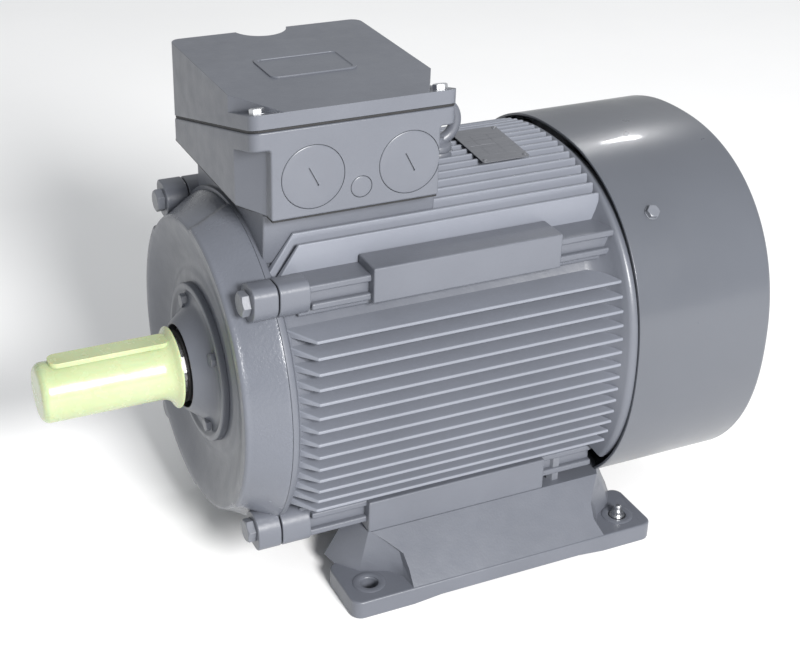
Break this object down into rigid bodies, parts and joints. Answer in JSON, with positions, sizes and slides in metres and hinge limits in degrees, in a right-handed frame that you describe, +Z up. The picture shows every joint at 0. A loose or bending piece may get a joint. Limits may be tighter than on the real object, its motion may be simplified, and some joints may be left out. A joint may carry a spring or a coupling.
{
  "type": "electric motor",
  "caption": "Foot-mounted squirrel-cage induction motor with ribbed housing, top terminal box, fan cowl and a sleeve over the shaft end.",
  "frame": {"origin": "centre of the bounding box in X and Y, on the plane the feet stand on", "axes": "+X along the shaft from the drive end to the fan cowl, +Z up; the shaft extension points to -X at a height of 0.225 m, and the cable entries seen in the picture face -Y"},
  "size_m": [0.7616, 0.414, 0.542],
  "materials": {
    "paint": "semi-gloss blue-grey machine enamel over cast iron",
    "painted_fixing": "hex fixings painted with the motor",
    "lamination": "stacked electrical sheet",
    "winding": "varnished copper winding heads",
    "bearing_steel": "ground bearing steel",
    "shaft_steel": "turned and ground shaft steel",
    "cage_brass": "cage with its balls",
    "black_rubber": "black elastomer",
    "grey_plastic": "grey blind plugs",
    "moulded_board": "moulded terminal board",
    "fan_plastic": "black fan",
    "plate_steel": "stainless rating plate, blank",
    "zinc": "zinc-plated fixing",
    "sleeve_plastic": "pale yellow-green transport sleeve"
  },
  "bodies": {
    "frame": {"stator_housing": "paint", "stator_core": "lamination", "winding_de": "winding", "winding_nde": "winding", "drive_endshield": "paint", "rear_endshield": "paint", "bearing_cap_de": "paint", "bearing_cap_de_inner": "paint", "bearing_cap_nde_inner": "paint", "bearing_outer_ring_de": "bearing_steel", "bearing_outer_ring_nde": "bearing_steel", "wave_spring_nde": "bearing_steel", "foot_left": "paint", "foot_right": "paint", "foot_bolt_1": "painted_fixing", "endshield_bolt_de_1": "painted_fixing", "endshield_bolt_nde_1": "painted_fixing", "cap_screw_de_1": "painted_fixing", "cowl_screw_1": "painted_fixing", "foot_bolt_2": "painted_fixing", "endshield_bolt_de_2": "painted_fixing", "endshield_bolt_nde_2": "painted_fixing", "cap_screw_de_2": "painted_fixing", "cowl_screw_2": "painted_fixing", "foot_bolt_3": "painted_fixing", "endshield_bolt_de_3": "painted_fixing", "endshield_bolt_nde_3": "painted_fixing", "cap_screw_de_3": "painted_fixing", "cowl_screw_3": "painted_fixing", "foot_bolt_4": "painted_fixing", "endshield_bolt_de_4": "painted_fixing", "endshield_bolt_nde_4": "painted_fixing", "cap_screw_de_4": "painted_fixing", "cowl_screw_4": "painted_fixing", "fan_cowl": "paint", "terminal_box": "paint", "terminal_box_lid": "paint", "box_gasket": "black_rubber", "lid_gasket": "black_rubber", "lid_screw_1": "zinc", "lid_screw_2": "zinc", "lid_screw_3": "zinc", "cable_plug_1": "grey_plastic", "cable_plug_2": "grey_plastic", "cable_plug_small": "grey_plastic", "terminal_board": "moulded_board", "lifting_eye": "paint", "nameplate": "plate_steel", "earth_screw": "zinc"},
    "rotor": {"shaft": "shaft_steel", "rotor_core": "lamination", "shaft_key": "shaft_steel", "bearing_inner_ring_de": "bearing_steel", "bearing_inner_ring_nde": "bearing_steel", "fan": "fan_plastic", "v_ring_de": "black_rubber"},
    "cage_de": {"ball_cage_de": "cage_brass"},
    "cage_nde": {"ball_cage_nde": "cage_brass"},
    "sleeve": {"shaft_sleeve": "sleeve_plastic"}
  },
  "joints": [
    {"name": "rotor_spin", "type": "hinge", "parent": "frame", "child": "rotor", "pos_m": [0, 0, 0.225], "axis": [1, 0, 0], "continuous": true},
    {"name": "cage_de_spin", "type": "hinge", "parent": "frame", "child": "cage_de", "pos_m": [0, 0, 0.225], "axis": [1, 0, 0], "continuous": true},
    {"name": "cage_nde_spin", "type": "hinge", "parent": "frame", "child": "cage_nde", "pos_m": [0, 0, 0.225], "axis": [1, 0, 0], "continuous": true},
    {"name": "sleeve_pull", "type": "slide", "parent": "rotor", "child": "sleeve", "axis": [-1, 0, 0], "range_m": [0, 0.15]}
  ],
  "couplings": [
    {"joint": "cage_de_spin", "follows": "rotor_spin", "ratio": 0.4},
    {"joint": "cage_nde_spin", "follows": "rotor_spin", "ratio": 0.4}
  ]
}
